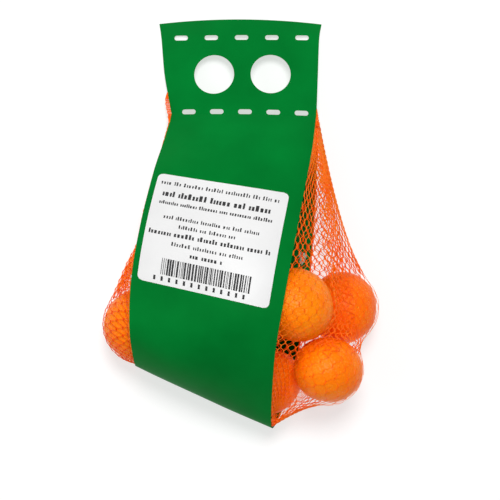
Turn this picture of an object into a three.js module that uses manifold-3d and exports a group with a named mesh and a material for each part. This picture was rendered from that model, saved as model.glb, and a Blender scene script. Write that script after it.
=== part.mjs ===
// A net of mandarins, lying on its back with its printed film band up.
// One green film band starts at a flat carrying header with two finger holes, runs down the
// front, turns under the bottom of the bag and comes back up to the header along the floor.
// The orange net is a tube held between the two runs of the band. It bulges out on both sides
// in pouches that are drawn tight over the fruit. A white label is stuck on the front run.
//
// Millimetres. X runs across the bag, Y from its bottom to its header, Z up from the floor.
// The design frame has its zero at the middle of the front view; the finished group is moved
// so that its origin is the centre of its footprint on the floor.
import * as THREE from "three";
import { mergeVertices } from "three/addons/utils/BufferGeometryUtils.js";
import Module from "manifold-3d";

const wasm = await Module();
wasm.setup();

// Film, net and label thicknesses and the clearances between them
const FILM = 0.8; // one layer; the header is two layers welded together
const NET_GAP = 0.9; // from the inner face of the film to the net
const NET_SKIN = 0.6; // from a fruit to the outside of the net over it
const LABEL_GAP = 0.35;
const LABEL_THICK = 0.5;

// Finger holes and the two rows of weld slots in the header
const FINGER_HOLE = { diameter: 32, spacing: 45.2, centre: [-6.1, 140.6] };
const SLOT = { length: 10.9, width: 4, count: 5 };
const SLOT_ROWS = [
  { centre: [-6.8, 171.3], pitch: 24.4, tilt: 0.0 },
  { centre: [-4, 109.4], pitch: 22.4, tilt: -0.021 },
];

// The label covers this part of the band, across and along
const LABEL = { left: -0.92, right: 0.815, from: "label_top", to: "label_bottom", corner: 4.5 };

// The band's guides: its left edge, middle line and right edge at named places, from the
// header down the front, round the bottom and back along the floor.
const STATIONS = {
  header_top: { left: [-73.3, 182.9, 1], middle: [-7.7, 186.4, 2], right: [57.9, 182.5, 1] },
  upper_slots: { left: [-71.6, 170.8, 1], middle: [-7.3, 171.9, 7], right: [55.8, 169.6, 4] },
  holes: { left: [-68.9, 141.3, 4], middle: [-6.8, 140.3, 21], right: [54.4, 140.1, 14] },
  lower_slots: { left: [-63.7, 114.1, 12], middle: [-4.8, 110.8, 34], right: [52.9, 110.4, 28] },
  weld_end: { left: [-63.2, 106.6, 16], middle: [-5.2, 103.7, 39], right: [51.9, 103, 33] },
  shoulder: { left: [-68.2, 85.7, 30], middle: [-9.4, 80.2, 58], right: [48, 76.5, 53] },
  label_top: { left: [-75.3, 60.5, 48], middle: [-17.1, 50.3, 78], right: [40.9, 41.6, 70] },
  label_middle: { left: [-84.6, 19.4, 66], middle: [-26.5, 8, 98], right: [32, -3, 92] },
  label_bottom: { left: [-90.8, -21.5, 76], middle: [-32.3, -33.8, 106], right: [23.8, -46.9, 106] },
  belly: { left: [-92.1, -57.5, 79], middle: [-36.2, -70.2, 102], right: [18.9, -77.8, 98] },
  low: { left: [-91, -77.5, 67], middle: [-38, -98.3, 80], right: [16.8, -112.7, 72] },
  turn: { left: [-89.5, -90.5, 43], middle: [-36.2, -115.7, 42], right: [17.4, -139.7, 38] },
  under: { left: [-88.5, -85, 11], middle: [-32, -106, 8], right: [25, -131, 9] },
  floor_low: { left: [-86, -60, 0.8], middle: [-26, -82, 0.8], right: [34, -104, 0.8] },
  floor_belly: { left: [-82, -24, 0.8], middle: [-19, -40, 0.8], right: [44, -56, 0.8] },
  floor_middle: { left: [-79, 14, 0.8], middle: [-14.5, 4, 0.8], right: [50, -6, 0.8] },
  floor_top: { left: [-76, 58, 0.8], middle: [-11.5, 52, 0.8], right: [53, 46, 0.8] },
  floor_shoulder: { left: [-69, 90, 3], middle: [-8, 86, 9], right: [54, 82, 5] },
  weld_return: { left: [-63.2, 106.6, 16], middle: [-5.2, 103.7, 39], right: [51.9, 103, 33] },
};
const STATION_NAMES = Object.keys(STATIONS);
const LAST_STATION = STATION_NAMES.length - 1;
const WELD = STATION_NAMES.indexOf("weld_end");
const TURN = STATION_NAMES.indexOf("turn");
const BAND_STEPS = 3; // rows of the film between two stations
const BAND_ACROSS = 12;

// The mandarins: where each lies in the bag, before they settle against each other. Firm ones
// are those that show at the sides, and they give way least.
const FRUIT = [
  { at: [37.2, -43.2, 78], radius: 29, firm: 1 },
  { at: [70, -47.5, 31.3], radius: 29, firm: 1 },
  { at: [61, -91, 59], radius: 27.5, firm: 1 },
  { at: [-83, -60.8, 33.4], radius: 31, firm: 1 },
  { at: [-36, -80, 28], radius: 26, firm: 0 },
  { at: [13, -104, 29], radius: 26.5, firm: 0 },
  { at: [-38, -28, 28], radius: 26, firm: 0 },
  { at: [6, -50, 28], radius: 26, firm: 0 },
  { at: [4, 6, 28], radius: 26, firm: 0 },
  { at: [-13, -66, 71], radius: 26.5, firm: 0 },
  { at: [-56, -42, 64], radius: 25, firm: 0 },
  { at: [-38, 36, 28], radius: 26, firm: 0 },
];
const SETTLE_ROUNDS = 400;
const FIRM_SHARE = 0.1; // how much of a push a firm fruit takes

// The net's grid: points across each film run and round each pouch, and rows from neck to bottom
const NET_ACROSS = 8;
const POUCH_POINTS = 22;
const NET_ROWS = 50;
const NET_START = 0.01; // where the net leaves the weld, as a share of its run
const NECK_BULGE = { right: 4, left: 0.5 }; // how far the gathered net stands out at its neck
const POUCH_SPREAD = 105; // how far out the net starts before it draws tight
const DRAW_ROUNDS = 700;
const LENGTHWISE = { right: 0.95, left: 0.87 }; // share of the net's pull from neck to bottom
const SAG = 0.03; // how far the net's weight draws a free point down in one round

const GREEN = 0x007a2c;
const NET_ORANGE = 0xf2641e;
const LABEL_WHITE = 0xf0f0ee;

// One guide curve of the band through the same corner of every station
function guide(side) {
  const points = STATION_NAMES.map((name) => new THREE.Vector3(...STATIONS[name][side]));
  return new THREE.CatmullRomCurve3(points, false, "catmullrom", 0.5);
}

const GUIDES = { left: guide("left"), middle: guide("middle"), right: guide("right") };

// A point of the band's middle surface. station counts along the band, across runs from -1 at
// the left edge to 1 at the right one. The floor stops the film.
function bandPoint(station, across) {
  const t = THREE.MathUtils.clamp(station / LAST_STATION, 0, 1);
  const left = GUIDES.left.getPoint(t);
  const middle = GUIDES.middle.getPoint(t);
  const right = GUIDES.right.getPoint(t);
  const slope = right.clone().sub(left).multiplyScalar(across / 2);
  const bow = right.add(left).multiplyScalar(0.5).sub(middle).multiplyScalar(across * across);
  const point = middle.add(slope).add(bow);
  point.z = Math.max(point.z, FILM);
  return point;
}

// The outward normal of the band, away from the fruit
function bandNormal(station, across) {
  const step = 0.05;
  const along = bandPoint(Math.min(station + step, LAST_STATION), across).sub(
    bandPoint(Math.max(station - step, 0), across),
  );
  const sideways = bandPoint(station, Math.min(across + step, 1)).sub(
    bandPoint(station, Math.max(across - step, -1)),
  );
  return along.cross(sideways).normalize();
}

function bandOffset(station, across, offset) {
  return bandPoint(station, across).addScaledVector(bandNormal(station, across), offset);
}

// A list of count + 1 evenly spaced values
function steps(from, to, count) {
  return Array.from({ length: count + 1 }, (_, i) => from + ((to - from) * i) / count);
}

// A closed solid from points and triangles, with double points merged and flat triangles gone
function solidFrom(points, triangles) {
  const raw = new THREE.BufferGeometry().setFromPoints(points).setIndex(triangles);
  const merged = mergeVertices(raw, 1e-3);
  const index = merged.index.array;
  const kept = [];
  for (let i = 0; i < index.length; i += 3) {
    const [a, b, c] = [index[i], index[i + 1], index[i + 2]];
    if (a !== b && b !== c && a !== c) kept.push(a, b, c);
  }
  const mesh = new wasm.Mesh({
    numProp: 3,
    vertProperties: merged.attributes.position.array,
    triVerts: new Uint32Array(kept),
  });
  return new wasm.Manifold(mesh);
}

function geometryOf(solid) {
  const mesh = solid.getMesh();
  const geometry = new THREE.BufferGeometry();
  geometry.setAttribute("position", new THREE.BufferAttribute(mesh.vertProperties, 3));
  geometry.setIndex(new THREE.BufferAttribute(mesh.triVerts, 1));
  geometry.computeVertexNormals();
  return geometry;
}

// Collects rows of points and the triangles between them
class Skin {
  constructor() {
    this.points = [];
    this.triangles = [];
  }

  row(points) {
    const first = this.points.length;
    this.points.push(...points);
    return points.map((_, i) => first + i);
  }

  quad(a, b, c, d) {
    this.triangles.push(a, b, c, a, c, d);
  }

  // The strip between two rows of equal length
  strip(upper, lower) {
    for (let i = 0; i + 1 < upper.length; i += 1) {
      this.quad(upper[i], lower[i], lower[i + 1], upper[i + 1]);
    }
  }

  solid() {
    return solidFrom(this.points, this.triangles);
  }
}

// The film: an outer skin round the whole band and an inner one from the weld round to the
// weld again, joined along both edges. The header between them is solid.
function bandSolid() {
  const skin = new Skin();
  const across = steps(-1, 1, BAND_ACROSS);
  const row = (station, offset) => skin.row(across.map((a) => bandOffset(station, a, offset)));
  const headerPlaces = steps(0, WELD, WELD * BAND_STEPS);
  const filmPlaces = steps(WELD, LAST_STATION, (LAST_STATION - WELD) * BAND_STEPS).slice(1, -1);
  const headerFront = headerPlaces.map((s) => row(s, FILM));
  const filmOuter = filmPlaces.map((s) => row(s, FILM));
  const headerBack = headerPlaces.map((s) => row(s, -FILM)).reverse();
  const fork = row(WELD, 0);
  const filmInner = filmPlaces.map((s) => row(s, 0));

  const outside = [...headerFront, ...filmOuter, ...headerBack, headerFront[0]];
  outside.slice(1).forEach((lower, i) => skin.strip(outside[i], lower));
  const inside = [fork, ...filmInner, fork];
  inside.slice(1).forEach((lower, i) => skin.strip(lower, inside[i]));

  const headerBackDown = [...headerBack].reverse();
  const outerRun = [headerFront.at(-1), ...filmOuter, headerBack[0]];
  for (const edge of [0, across.length - 1]) {
    const side = (a, b, c, d) => (edge === 0 ? skin.quad(a, b, c, d) : skin.quad(d, c, b, a));
    for (let i = 0; i + 1 < headerFront.length; i += 1) {
      side(
        headerFront[i][edge],
        headerBackDown[i][edge],
        headerBackDown[i + 1][edge],
        headerFront[i + 1][edge],
      );
    }
    for (let i = 0; i + 1 < outerRun.length; i += 1) {
      side(outerRun[i][edge], inside[i][edge], inside[i + 1][edge], outerRun[i + 1][edge]);
    }
    const [front, back] = [headerFront.at(-1)[edge], headerBack[0][edge]];
    skin.triangles.push(...(edge === 0 ? [front, back, fork[edge]] : [back, front, fork[edge]]));
  }
  return skin.solid();
}

// A prism through the header, standing along Z
function punch(shape, [x, y], turn = 0) {
  const depth = 120;
  const flat = new THREE.ExtrudeGeometry(shape, { depth, bevelEnabled: false, curveSegments: 8 });
  flat.deleteAttribute("normal");
  flat.deleteAttribute("uv");
  flat.rotateZ(turn);
  flat.translate(x, y, -depth / 2);
  const merged = mergeVertices(flat, 1e-3);
  const mesh = new wasm.Mesh({
    numProp: 3,
    vertProperties: merged.attributes.position.array,
    triVerts: new Uint32Array(merged.index.array),
  });
  return new wasm.Manifold(mesh);
}

function fingerHoles() {
  const [x, y] = FINGER_HOLE.centre;
  const circle = new THREE.Shape();
  const sides = 36;
  const corners = steps(0, 2 * Math.PI, sides).slice(0, -1);
  circle.setFromPoints(
    corners.map(
      (angle) => new THREE.Vector2(Math.cos(angle), Math.sin(angle)).multiplyScalar(
        FINGER_HOLE.diameter / 2,
      ),
    ),
  );
  return [-1, 1].map((side) => punch(circle, [x + (side * FINGER_HOLE.spacing) / 2, y]));
}

function weldSlots() {
  const half = (SLOT.length - SLOT.width) / 2;
  const radius = SLOT.width / 2;
  const capsule = new THREE.Shape();
  capsule.absarc(half, 0, radius, -Math.PI / 2, Math.PI / 2);
  capsule.absarc(-half, 0, radius, Math.PI / 2, (3 * Math.PI) / 2);
  const middle = (SLOT.count - 1) / 2;
  return SLOT_ROWS.flatMap(({ centre, pitch, tilt }) =>
    Array.from({ length: SLOT.count }, (_, i) => {
      const along = (i - middle) * pitch;
      return punch(
        capsule,
        [centre[0] + along * Math.cos(tilt), centre[1] + along * Math.sin(tilt)],
        tilt,
      );
    }),
  );
}

function filmBand() {
  return [...fingerHoles(), ...weldSlots()].reduce((film, hole) => film.subtract(hole), bandSolid());
}

// The label: a thin plate over the film, whose rows draw in near its ends for round corners
function labelSolid() {
  const skin = new Skin();
  const from = STATION_NAMES.indexOf(LABEL.from);
  const to = STATION_NAMES.indexOf(LABEL.to);
  const height = bandPoint(from, 0).distanceTo(bandPoint(to, 0));
  const width = bandPoint(from, LABEL.left).distanceTo(bandPoint(from, LABEL.right));
  const ends = [0, 0.1, 0.35, 1].map((share) => (share * LABEL.corner) / height);
  const shares = [...ends, ...steps(0, 1, 8).slice(1, -1), ...ends.map((e) => 1 - e).reverse()];
  const rowAt = (share, offset) => {
    const toEnd = Math.min(share, 1 - share) * height;
    const short = Math.max(LABEL.corner - toEnd, 0);
    const inset = LABEL.corner - Math.sqrt(LABEL.corner ** 2 - short ** 2);
    const drawIn = (inset / width) * (LABEL.right - LABEL.left);
    const across = steps(LABEL.left + drawIn, LABEL.right - drawIn, 10);
    return skin.row(across.map((a) => bandOffset(from + (to - from) * share, a, offset)));
  };
  const top = shares.map((share) => rowAt(share, FILM + LABEL_GAP + LABEL_THICK));
  const bottom = shares.map((share) => rowAt(share, FILM + LABEL_GAP));
  for (let i = 0; i + 1 < shares.length; i += 1) {
    skin.strip(top[i], top[i + 1]);
    skin.strip(bottom[i + 1], bottom[i]);
    skin.quad(top[i][0], bottom[i][0], bottom[i + 1][0], top[i + 1][0]);
    skin.quad(top[i + 1].at(-1), bottom[i + 1].at(-1), bottom[i].at(-1), top[i].at(-1));
  }
  skin.strip(bottom[0], top[0]);
  skin.strip(top.at(-1), bottom.at(-1));
  return skin.solid();
}

// Points of the film all round the fruit, each with the way into the bag
function filmWall() {
  const places = steps(WELD, LAST_STATION, (LAST_STATION - WELD) * 4);
  return places.flatMap((station) =>
    steps(-1, 1, 8).map((across) => ({
      at: bandPoint(station, across),
      inward: bandNormal(station, across).negate(),
    })),
  );
}

// Pushes the fruit apart until none overlap, and off the film and the floor
function settledFruit() {
  const wall = filmWall();
  const clearance = NET_GAP + NET_SKIN;
  const fruit = FRUIT.map(({ at, radius, firm }) => ({
    at: new THREE.Vector3(...at),
    radius,
    give: firm ? FIRM_SHARE : 1,
  }));
  const nearestTo = (point) =>
    wall.reduce((best, spot) =>
      spot.at.distanceToSquared(point) < best.at.distanceToSquared(point) ? spot : best,
    );
  for (let round = 0; round < SETTLE_ROUNDS; round += 1) {
    for (let i = 0; i < fruit.length; i += 1) {
      for (let j = i + 1; j < fruit.length; j += 1) {
        const apart = fruit[j].at.clone().sub(fruit[i].at);
        const overlap = fruit[i].radius + fruit[j].radius - apart.length();
        if (overlap > 0) {
          const both = fruit[i].give + fruit[j].give;
          apart.normalize().multiplyScalar(overlap / both);
          fruit[i].at.addScaledVector(apart, -fruit[i].give);
          fruit[j].at.addScaledVector(apart, fruit[j].give);
        }
      }
    }
    for (const { at, radius } of fruit) {
      const spot = nearestTo(at);
      const short = radius + clearance - spot.at.distanceTo(at);
      if (short > 0) at.addScaledVector(spot.inward, short);
      at.z = Math.max(at.z, radius + clearance + FILM);
    }
  }
  return fruit;
}

// One ring of the net at a share of its run: under the front film from left to right, round
// the right pouch, under the back film from right to left and round the left pouch.
function netRing(share) {
  const front = WELD + (TURN - WELD) * share;
  const back = LAST_STATION - (LAST_STATION - TURN) * share;
  const across = steps(-1, 1, NET_ACROSS);
  const upper = across.map((a) => bandOffset(front, a, -NET_GAP));
  const lower = across.map((a) => bandOffset(back, a, -NET_GAP));
  const spread = POUCH_SPREAD * Math.sin(Math.PI * share) ** 0.8;
  const pouch = (start, end, side) =>
    steps(0, 1, POUCH_POINTS + 1)
      .slice(1, -1)
      .map((s) => {
        const point = start.clone().lerp(end, s);
        point.x += side * spread * Math.sin(Math.PI * s);
        return point;
      });
  const right = pouch(upper.at(-1), lower.at(-1), 1);
  const left = pouch(lower[0], upper[0], -1);
  return { upper, right, lower: [...lower].reverse(), left };
}

// At its neck the net is pinched flat: both of its runs meet halfway between the films
function pinch(ring) {
  const lower = [...ring.lower].reverse();
  const seam = ring.upper.map((point, i) => point.clone().lerp(lower[i], 0.5));
  ring.upper = seam;
  ring.lower = seam.map((point) => point.clone()).reverse();
  const bulge = (points, end, side, size) =>
    points.map((_, i) => {
      const s = (i + 1) / (points.length + 1);
      return new THREE.Vector3(end.x + side * size * Math.sin(Math.PI * s), end.y, end.z);
    });
  ring.right = bulge(ring.right, seam.at(-1), 1, NECK_BULGE.right);
  ring.left = bulge(ring.left, seam[0], -1, NECK_BULGE.left);
}

// Draws the pouches tight: each free point moves to the middle of its neighbours, and then
// out of the fruit and off the floor.
function drawTight(rings, fruit) {
  const last = rings.length - 1;
  const isFree = (column) =>
    (column > NET_ACROSS && column <= NET_ACROSS + POUCH_POINTS) ||
    column > 2 * NET_ACROSS + POUCH_POINTS + 1;
  const columns = rings[0].length;
  const free = steps(0, columns - 1, columns - 1).filter(isFree);
  const lengthwise = (column) => (column < columns / 2 ? LENGTHWISE.right : LENGTHWISE.left);
  const target = new THREE.Vector3();
  for (let round = 0; round < DRAW_ROUNDS; round += 1) {
    for (let r = 1; r < last; r += 1) {
      for (const c of free) {
        target
          .copy(rings[r - 1][c])
          .add(rings[r + 1][c])
          .multiplyScalar(lengthwise(c) / 2)
          .addScaledVector(rings[r][c - 1], (1 - lengthwise(c)) / 2)
          .addScaledVector(rings[r][(c + 1) % columns], (1 - lengthwise(c)) / 2);
        for (const { at, radius } of fruit) {
          const reach = radius + NET_SKIN;
          if (target.distanceTo(at) < reach) {
            target.sub(at).setLength(reach).add(at);
          }
        }
        target.z = Math.max(target.z - SAG, 0);
        rings[r][c].copy(target);
      }
    }
  }
}

function netBag() {
  const shares = steps(NET_START, 1, NET_ROWS);
  const parts = shares.map(netRing);
  pinch(parts[0]);
  const rings = parts.map(({ upper, right, lower, left }) => [...upper, ...right, ...lower, ...left]);
  drawTight(rings, settledFruit());
  const skin = new Skin();
  const rows = rings.map((ring) => skin.row(ring));
  for (let r = 0; r + 1 < rows.length; r += 1) {
    skin.strip([...rows[r], rows[r][0]], [...rows[r + 1], rows[r + 1][0]]);
  }
  return skin.solid();
}

function piece(name, solid, color, roughness) {
  const material = new THREE.MeshStandardMaterial({ color, roughness, metalness: 0 });
  const mesh = new THREE.Mesh(geometryOf(solid), material);
  mesh.name = name;
  return mesh;
}

const bag = new THREE.Group();
bag.add(
  piece("film_band", filmBand(), GREEN, 0.35),
  piece("label", labelSolid(), LABEL_WHITE, 0.5),
  piece("net_bag", netBag(), NET_ORANGE, 0.55),
);

const footprint = new THREE.Box3().setFromObject(bag);
const middle = footprint.getCenter(new THREE.Vector3());
bag.position.set(-middle.x, -middle.y, -footprint.min.z);

export default bag;
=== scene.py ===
import math

import bmesh
import bpy
import numpy as np
from mathutils import Euler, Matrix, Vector


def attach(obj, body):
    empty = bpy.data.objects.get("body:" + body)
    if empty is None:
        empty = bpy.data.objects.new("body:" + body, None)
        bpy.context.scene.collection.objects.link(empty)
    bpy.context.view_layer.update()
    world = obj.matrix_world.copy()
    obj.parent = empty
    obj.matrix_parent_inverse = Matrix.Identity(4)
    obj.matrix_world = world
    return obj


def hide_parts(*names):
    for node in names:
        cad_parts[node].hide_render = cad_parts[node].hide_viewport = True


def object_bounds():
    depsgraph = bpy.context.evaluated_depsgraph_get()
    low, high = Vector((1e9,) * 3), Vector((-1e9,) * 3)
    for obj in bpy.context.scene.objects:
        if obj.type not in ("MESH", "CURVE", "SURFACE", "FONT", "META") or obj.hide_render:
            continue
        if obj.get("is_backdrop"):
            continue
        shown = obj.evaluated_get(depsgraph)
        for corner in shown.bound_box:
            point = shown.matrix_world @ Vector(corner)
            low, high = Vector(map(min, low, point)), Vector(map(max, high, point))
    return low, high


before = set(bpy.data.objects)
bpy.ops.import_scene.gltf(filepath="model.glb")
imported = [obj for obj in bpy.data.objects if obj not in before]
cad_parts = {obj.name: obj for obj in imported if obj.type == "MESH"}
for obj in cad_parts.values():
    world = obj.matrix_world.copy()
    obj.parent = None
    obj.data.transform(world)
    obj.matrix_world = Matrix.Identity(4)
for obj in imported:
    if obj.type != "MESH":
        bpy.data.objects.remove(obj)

CAD_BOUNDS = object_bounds()
SEED = 11
ROW_SHIFT = np.array([7.831165, -22.917793, 0.0])  # from the design frame to the row's frame
MM = 0.001

# Film, net and label, as in the part's source, but for how thick the film is shown
FILM = 0.8
FILM_SHEET = 0.22
HEADER_HALF = 0.3  # half of the shown thickness of the welded header
NET_GAP = 0.9  # from the inner face of the film to the net
NET_SKIN = 0.6  # from a fruit to the outside of the net over it
FINGER_HOLE_RADIUS = 16.0
FINGER_HOLES = [(-28.7, 140.6), (16.5, 140.6)]
SLOT_LENGTH, SLOT_WIDTH, SLOT_COUNT = 10.9, 4.0, 5
SLOT_ROWS = [((-6.8, 171.3), 24.4, 0.0), ((-4.0, 109.4), 22.4, -0.021)]
LABEL_LEFT, LABEL_RIGHT, LABEL_CORNER = -0.92, 0.815, 4.5

# The band's left edge, middle line and right edge at each station, as in the part's source
STATIONS = np.array([
    [[-73.3, 182.9, 1], [-7.7, 186.4, 2], [57.9, 182.5, 1]],  # header top
    [[-71.6, 170.8, 1], [-7.3, 171.9, 7], [55.8, 169.6, 4]],  # upper slots
    [[-68.9, 141.3, 4], [-6.8, 140.3, 21], [54.4, 140.1, 14]],  # holes
    [[-63.7, 114.1, 12], [-4.8, 110.8, 34], [52.9, 110.4, 28]],  # lower slots
    [[-63.2, 106.6, 16], [-5.2, 103.7, 39], [51.9, 103, 33]],  # weld end
    [[-68.2, 85.7, 30], [-9.4, 80.2, 58], [48, 76.5, 53]],  # shoulder
    [[-75.3, 60.5, 48], [-17.1, 50.3, 78], [40.9, 41.6, 70]],  # label top
    [[-84.6, 19.4, 66], [-26.5, 8, 98], [32, -3, 92]],  # label middle
    [[-90.8, -21.5, 76], [-32.3, -33.8, 106], [23.8, -46.9, 106]],  # label bottom
    [[-92.1, -57.5, 79], [-36.2, -70.2, 102], [18.9, -77.8, 98]],  # belly
    [[-91, -77.5, 67], [-38, -98.3, 80], [16.8, -112.7, 72]],  # low
    [[-89.5, -90.5, 43], [-36.2, -115.7, 42], [17.4, -139.7, 38]],  # turn
    [[-88.5, -85, 11], [-32, -106, 8], [25, -131, 9]],  # under
    [[-86, -60, 0.8], [-26, -82, 0.8], [34, -104, 0.8]],  # floor, low
    [[-82, -24, 0.8], [-19, -40, 0.8], [44, -56, 0.8]],  # floor, belly
    [[-79, 14, 0.8], [-14.5, 4, 0.8], [50, -6, 0.8]],  # floor, middle
    [[-76, 58, 0.8], [-11.5, 52, 0.8], [53, 46, 0.8]],  # floor, top
    [[-69, 90, 3], [-8, 86, 9], [54, 82, 5]],  # floor, shoulder
    [[-63.2, 106.6, 16], [-5.2, 103.7, 39], [51.9, 103, 33]],  # weld end again
])
WELD, LABEL_TOP, LABEL_BOTTOM, TURN = 4, 6, 8, 11
LAST = len(STATIONS) - 1

# The mandarins before they settle: place, radius and whether they are firm and give way least
FRUIT = [
    ((37.2, -43.2, 78), 29, True),
    ((70, -47.5, 31.3), 29, True),
    ((61, -91, 59), 27.5, True),
    ((-83, -60.8, 33.4), 31, True),
    ((-36, -80, 28), 26, False),
    ((13, -104, 29), 26.5, False),
    ((-38, -28, 28), 26, False),
    ((6, -50, 28), 26, False),
    ((4, 6, 28), 26, False),
    ((-13, -66, 71), 26.5, False),
    ((-56, -42, 64), 25, False),
    ((-38, 36, 28), 26, False),
]
SETTLE_ROUNDS = 400
FIRM_SHARE = 0.1  # how much of a push a firm fruit takes

# The net's coarse grid and how it draws tight. The grid, the spread, the pull and the sag are as
# in the part's source. The start at the weld, the neck at the right, the rounds, the tuck and the
# gap to the floor are the scene's own.
NET_ACROSS, POUCH_POINTS, NET_ROWS = 8, 22, 50
NECK_BULGE = {"right": 2.6, "left": 0.5}  # how far the gathered net stands out at its neck
POUCH_SPREAD = 105.0  # how far out the net starts before it draws tight
LENGTHWISE = {"right": 0.95, "left": 0.87}  # share of the net's pull from neck to bottom
SAG = 0.03  # how far the net's weight draws a free point down in one round
DRAW_ROUNDS = 1100
FINER = 3  # steps in place of each one of the coarse grid, for the last rounds
FINE_ROUNDS = 160
TUCK = 3.4  # how far the left pouch stays back under the film's edge before it comes out
TUCK_AT, TUCK_SPAN = 8.0, 15.0  # in Y: where it is tucked most, and over what length
FLOOR_GAP = 0.3  # how far the net's free points stay over the floor

# The net's threads: a wale runs from neck to bottom, a course goes round the bag
TUBE_SIDES = 3
WALES = 134
COURSES = 60
BELLY_SHARE = 0.66  # how far down the net is the row that spaces its wales
KNOT_REACH = 0.45  # how far aside a thread swings to meet the next, as a share of their spacing
KNOT_SHARE = 0.5  # how much of a course two threads run side by side
THIN_FROM = 0.06  # how soon after a knot a thread is thin, as a share of a course
NORMAL_EAST, NORMAL_SOUTH = 0.3, 0.6  # how far off the net is felt for its normal: wales, rows
SIDE_BLEND = 20.0  # half of the width over which the left pouch's values go to the right pouch's
KNOT_RADII = {"left": (0.42, 0.66), "right": (0.19, 0.54)}  # where stretched and where slack
PAINTED_SHADE_DEPTH = {"left": 1.0, "right": 0.1}  # how much painted shade darkens the threads that lie close over a fruit
SLACK_FROM = (0.8, 5.0)  # off the fruit, the net goes from stretched to slack over this distance, and its painted shade fades out
THIN_SHARE = 0.6  # a slanted run's thickness over a knot's
LEFT_DENSITY = 0.52  # the left pouch has fewer wales to its length than the rest
WALE_HOLD = 0.85  # 1: each wale keeps its place from neck to bottom, 0: they spread evenly

# The camera stands straight above the bag
CAMERA_HEIGHT = 1500.0
FOCAL_LENGTH = 133.34
SENSOR = 36.0

# The floor, in metres: just under the film, so that the two aren't one surface
FLOOR_SIZE, FLOOR_LEVEL = 3.0, -0.0003


def catmull(points, t):
    """Points of a uniform Catmull-Rom curve; t counts its points."""
    ends = np.vstack([2 * points[:1] - points[1:2], points, 2 * points[-1:] - points[-2:-1]])
    i = np.clip(np.floor(t).astype(int), 0, len(points) - 2)
    w = (t - i)[..., None]
    p0, p1, p2, p3 = ends[i], ends[i + 1], ends[i + 2], ends[i + 3]
    t0, t1 = (p2 - p0) / 2, (p3 - p1) / 2
    return p1 + w * t0 + w**2 * (3 * (p2 - p1) - 2 * t0 - t1) + w**3 * (2 * (p1 - p2) + t0 + t1)


def band_point(station, across):
    """The band's middle surface at a station and a place across it, -1 left to 1 right."""
    station, across = np.broadcast_arrays(np.asarray(station, float), np.asarray(across, float))
    t = np.clip(station, 0, LAST)
    left, middle, right = (catmull(STATIONS[:, side], t) for side in range(3))
    a = across[..., None]
    point = middle + (right - left) * a / 2 + ((right + left) / 2 - middle) * a**2
    point[..., 2] = np.maximum(point[..., 2], FILM)
    return point


def band_normal(station, across):
    step = 0.05
    station, across = np.broadcast_arrays(np.asarray(station, float), np.asarray(across, float))
    ahead = band_point(np.minimum(station + step, LAST), across)
    behind = band_point(np.maximum(station - step, 0), across)
    east = band_point(station, np.minimum(across + step, 1))
    west = band_point(station, np.maximum(across - step, -1))
    normal = np.cross(ahead - behind, east - west)
    return normal / np.linalg.norm(normal, axis=-1, keepdims=True)


def band_offset(station, across, offset):
    offset = np.asarray(offset, float)
    if offset.ndim:
        offset = offset[..., None]
    return band_point(station, across) + band_normal(station, across) * offset


def smooth_step(low, high, value):
    t = np.clip((value - low) / (high - low), 0, 1)
    return t * t * (3 - 2 * t)


def store(piece, name, values):
    """A value for each point of a piece, which its material reads by name."""
    piece.data.attributes.new(name, "FLOAT", "POINT").data.foreach_set("value", values)


def make_object(name, points, faces, material):
    """A mesh object from points in the design frame."""
    mesh = bpy.data.meshes.new(name)
    mesh.from_pydata(((np.asarray(points) + ROW_SHIFT) * MM).tolist(), [], list(faces))
    mesh.polygons.foreach_set("use_smooth", [True] * len(mesh.polygons))
    mesh.materials.append(material)
    piece = bpy.data.objects.new(name, mesh)
    bpy.context.collection.objects.link(piece)
    return piece


def thicken(piece, depth):
    """Gives an open sheet a thickness, inwards, in millimetres."""
    solidify = piece.modifiers.new("thickness", "SOLIDIFY")
    solidify.thickness = depth * MM
    solidify.offset = -1


def strip_faces(rows, columns, wrap_columns=False, first=0):
    """Quads between the rows of a grid whose points are stored row by row."""
    r = np.arange(rows - 1)[:, None]
    c = np.arange(columns if wrap_columns else columns - 1)[None, :]
    right = (c + 1) % columns
    a = first + r * columns + c
    b = first + (r + 1) * columns + c
    d = first + (r + 1) * columns + right
    e = first + r * columns + right
    return np.stack([a, b, d, e], axis=-1).reshape(-1, 4)


def joined(parts):
    """Several meshes, each of points and faces, as one."""
    points, faces = [], []
    first = 0
    for more, loops in parts:
        points.append(more)
        faces += [[first + i for i in loop] for loop in loops]
        first += len(more)
    return np.concatenate(points), faces


# Materials

def new_material(name):
    """A material, its nodes and links, and its shader."""
    material = bpy.data.materials.new(name)
    material.use_nodes = True
    nodes = material.node_tree.nodes
    return material, nodes, material.node_tree.links, nodes["Principled BSDF"]


def patterned_material(name):
    """The same, with the place that its patterns follow."""
    material, nodes, links, shader = new_material(name)
    place = nodes.new("ShaderNodeTexCoord").outputs["Object"]
    return material, nodes, links, shader, place


def toned(nodes, links, place, scale, detail, stops):
    """A colour that drifts between tones."""
    return ramp_node(nodes, links, noise_node(nodes, links, place, scale, detail), stops)


def set_shader(shader, **values):
    """Values that are the same all over a surface, by the names of the shader's sockets."""
    for name, value in values.items():
        shader.inputs[name.replace("_", " ")].default_value = value


def linear(red, green, blue):
    """A colour given as 0 to 255 sRGB, in Blender's linear light."""
    def channel(value):
        value /= 255
        return value / 12.92 if value <= 0.04045 else ((value + 0.055) / 1.055) ** 2.4
    return (channel(red), channel(green), channel(blue), 1.0)


def noise_node(nodes, links, place, scale, detail):
    """Noise over a place, with a scale in cells to the metre."""
    noise = nodes.new("ShaderNodeTexNoise")
    noise.inputs["Scale"].default_value = scale
    noise.inputs["Detail"].default_value = detail
    links.new(place, noise.inputs["Vector"])
    return noise.outputs["Fac"]


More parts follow.
